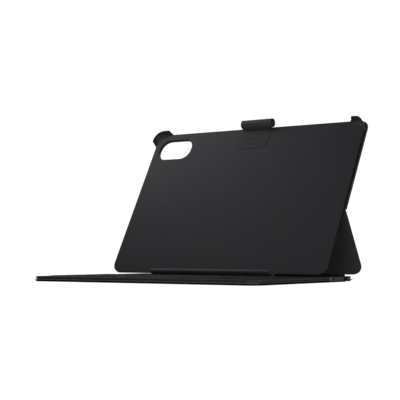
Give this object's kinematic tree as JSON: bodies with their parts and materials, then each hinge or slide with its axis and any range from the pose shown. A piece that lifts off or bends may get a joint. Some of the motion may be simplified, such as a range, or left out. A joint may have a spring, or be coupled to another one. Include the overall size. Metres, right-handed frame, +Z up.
{
  "type": "tablet keyboard case",
  "caption": "Folio keyboard case for a tablet: keyboard base, folding rear stand, holding plate with corner clips, ledge, camera opening and pen loop.",
  "frame": {"origin": "centre of the keyboard base's underside", "axes": "+X to the typist's right, +Y from the typing edge to the back, +Z up"},
  "size_m": [0.287, 0.2314, 0.1841],
  "materials": {
    "folio_skin": "fine-grained synthetic leather, satin",
    "folio_lining": "brushed microfibre",
    "stiff_board": "plain glass-fibre board",
    "deck_plastic": "fine satin moulding",
    "inner_plastic": "plain moulding",
    "port_plastic": "satin moulding",
    "plate_plastic": "soft-touch matte",
    "holder_plastic": "matte moulding",
    "pad_rubber": "matte rubber",
    "sleeve_rubber": "smooth silicone rubber",
    "key_plastic": "fine matte key plastic",
    "light_lens": "diffusing lens",
    "socket_steel": "plated steel",
    "sheet_steel": "plain sheet",
    "membrane_film": "printed film",
    "dome_rubber": "silicone",
    "battery_pouch": "laminated pouch",
    "circuit_board": "solder mask",
    "chip_plastic": "moulded package",
    "lead_film": "polyimide film",
    "magnet_metal": "nickel plated magnet"
  },
  "bodies": {
    "base": {"base_cover": "folio_skin", "bottom_pan": "inner_plastic", "keyboard_deck": "deck_plastic", "port_block": "port_plastic", "charge_socket": "socket_steel", "socket_tongue": "inner_plastic", "status_light": "light_lens", "key_backplate": "sheet_steel", "membrane_circuit": "membrane_film", "dome_sheet": "dome_rubber", "scissor_links": "inner_plastic", "battery_cell": "battery_pouch", "main_board": "circuit_board", "board_chips": "chip_plastic", "board_screws": "socket_steel", "battery_lead": "lead_film", "dock_magnets": "magnet_metal", "closing_magnets": "magnet_metal", "spine_hinge_strip": "folio_skin"},
    "spine": {"spine_skin": "folio_skin", "spine_board": "stiff_board", "spine_lining": "folio_lining", "flap_hinge_strip": "folio_skin"},
    "flap": {"flap_skin": "folio_skin", "flap_board": "stiff_board", "flap_lining": "folio_lining", "flap_magnets": "magnet_metal", "fold_strip": "folio_skin"},
    "tablet_holder": {"back_skin": "folio_skin", "back_board": "stiff_board", "tablet_plate": "plate_plastic", "left_corner_clip": "holder_plastic", "right_corner_clip": "holder_plastic", "bottom_ledge": "holder_plastic", "ledge_pad": "pad_rubber", "sleeve_tab": "sleeve_rubber", "pen_sleeve": "sleeve_rubber"},
    "function_key_row": {"function_keys": "key_plastic"},
    "number_key_row": {"number_keys": "key_plastic"},
    "backspace_key_cap": {"backspace_key": "key_plastic"},
    "tab_key_cap": {"tab_key": "key_plastic"},
    "top_letter_key_row": {"top_letter_keys": "key_plastic"},
    "caps_lock_key_cap": {"caps_lock_key": "key_plastic"},
    "home_letter_key_row": {"home_letter_keys": "key_plastic"},
    "enter_key_cap": {"enter_key": "key_plastic"},
    "left_shift_key_cap": {"left_shift_key": "key_plastic"},
    "bottom_letter_key_row": {"bottom_letter_keys": "key_plastic"},
    "right_shift_key_cap": {"right_shift_key": "key_plastic"},
    "left_modifier_key_row": {"left_modifier_keys": "key_plastic"},
    "space_bar_cap": {"space_bar": "key_plastic"},
    "right_modifier_key_row": {"right_modifier_keys": "key_plastic"},
    "arrow_key_row": {"arrow_keys": "key_plastic"}
  },
  "joints": [
    {"name": "spine_hinge", "type": "hinge", "parent": "base", "child": "spine", "pos_m": [0, 0.099, 0], "axis": [1, 0, 0], "range_deg": [-180, 0]},
    {"name": "flap_hinge", "type": "hinge", "parent": "spine", "child": "flap", "pos_m": [0, 0.11842, 0.0015], "axis": [1, 0, 0], "range_deg": [-120.3, 0]},
    {"name": "panel_fold", "type": "hinge", "parent": "flap", "child": "tablet_holder", "pos_m": [0, 0.07599, 0.07411], "axis": [1, 0, 0], "range_deg": [0, 59.4]},
    {"name": "function_keys_press", "type": "slide", "parent": "base", "child": "function_key_row", "axis": [0, 0, 1], "range_m": [-0.0012, 0], "stiffness_N_per_m": 4500, "springref_m": 0.0004},
    {"name": "number_keys_press", "type": "slide", "parent": "base", "child": "number_key_row", "axis": [0, 0, 1], "range_m": [-0.0012, 0], "stiffness_N_per_m": 3900, "springref_m": 0.0004},
    {"name": "backspace_key_press", "type": "slide", "parent": "base", "child": "backspace_key_cap", "axis": [0, 0, 1], "range_m": [-0.0012, 0], "stiffness_N_per_m": 300, "springref_m": 0.0004},
    {"name": "tab_key_press", "type": "slide", "parent": "base", "child": "tab_key_cap", "axis": [0, 0, 1], "range_m": [-0.0012, 0], "stiffness_N_per_m": 300, "springref_m": 0.0004},
    {"name": "top_letter_keys_press", "type": "slide", "parent": "base", "child": "top_letter_key_row", "axis": [0, 0, 1], "range_m": [-0.0012, 0], "stiffness_N_per_m": 3900, "springref_m": 0.0004},
    {"name": "caps_lock_key_press", "type": "slide", "parent": "base", "child": "caps_lock_key_cap", "axis": [0, 0, 1], "range_m": [-0.0012, 0], "stiffness_N_per_m": 300, "springref_m": 0.0004},
    {"name": "home_letter_keys_press", "type": "slide", "parent": "base", "child": "home_letter_key_row", "axis": [0, 0, 1], "range_m": [-0.0012, 0], "stiffness_N_per_m": 3300, "springref_m": 0.0004},
    {"name": "enter_key_press", "type": "slide", "parent": "base", "child": "enter_key_cap", "axis": [0, 0, 1], "range_m": [-0.0012, 0], "stiffness_N_per_m": 300, "springref_m": 0.0004},
    {"name": "left_shift_key_press", "type": "slide", "parent": "base", "child": "left_shift_key_cap", "axis": [0, 0, 1], "range_m": [-0.0012, 0], "stiffness_N_per_m": 300, "springref_m": 0.0004},
    {"name": "bottom_letter_keys_press", "type": "slide", "parent": "base", "child": "bottom_letter_key_row", "axis": [0, 0, 1], "range_m": [-0.0012, 0], "stiffness_N_per_m": 3000, "springref_m": 0.0004},
    {"name": "right_shift_key_press", "type": "slide", "parent": "base", "child": "right_shift_key_cap", "axis": [0, 0, 1], "range_m": [-0.0012, 0], "stiffness_N_per_m": 300, "springref_m": 0.0004},
    {"name": "left_modifier_keys_press", "type": "slide", "parent": "base", "child": "left_modifier_key_row", "axis": [0, 0, 1], "range_m": [-0.0012, 0], "stiffness_N_per_m": 1200, "springref_m": 0.0004},
    {"name": "space_bar_press", "type": "slide", "parent": "base", "child": "space_bar_cap", "axis": [0, 0, 1], "range_m": [-0.0012, 0], "stiffness_N_per_m": 300, "springref_m": 0.0004},
    {"name": "right_modifier_keys_press", "type": "slide", "parent": "base", "child": "right_modifier_key_row", "axis": [0, 0, 1], "range_m": [-0.0012, 0], "stiffness_N_per_m": 600, "springref_m": 0.0004},
    {"name": "arrow_keys_press", "type": "slide", "parent": "base", "child": "arrow_key_row", "axis": [0, 0, 1], "range_m": [-0.0012, 0], "stiffness_N_per_m": 1200, "springref_m": 0.0004}
  ],
  "couplings": [
    {"joint": "panel_fold", "follows": "flap_hinge", "ratio": -0.49352}
  ]
}
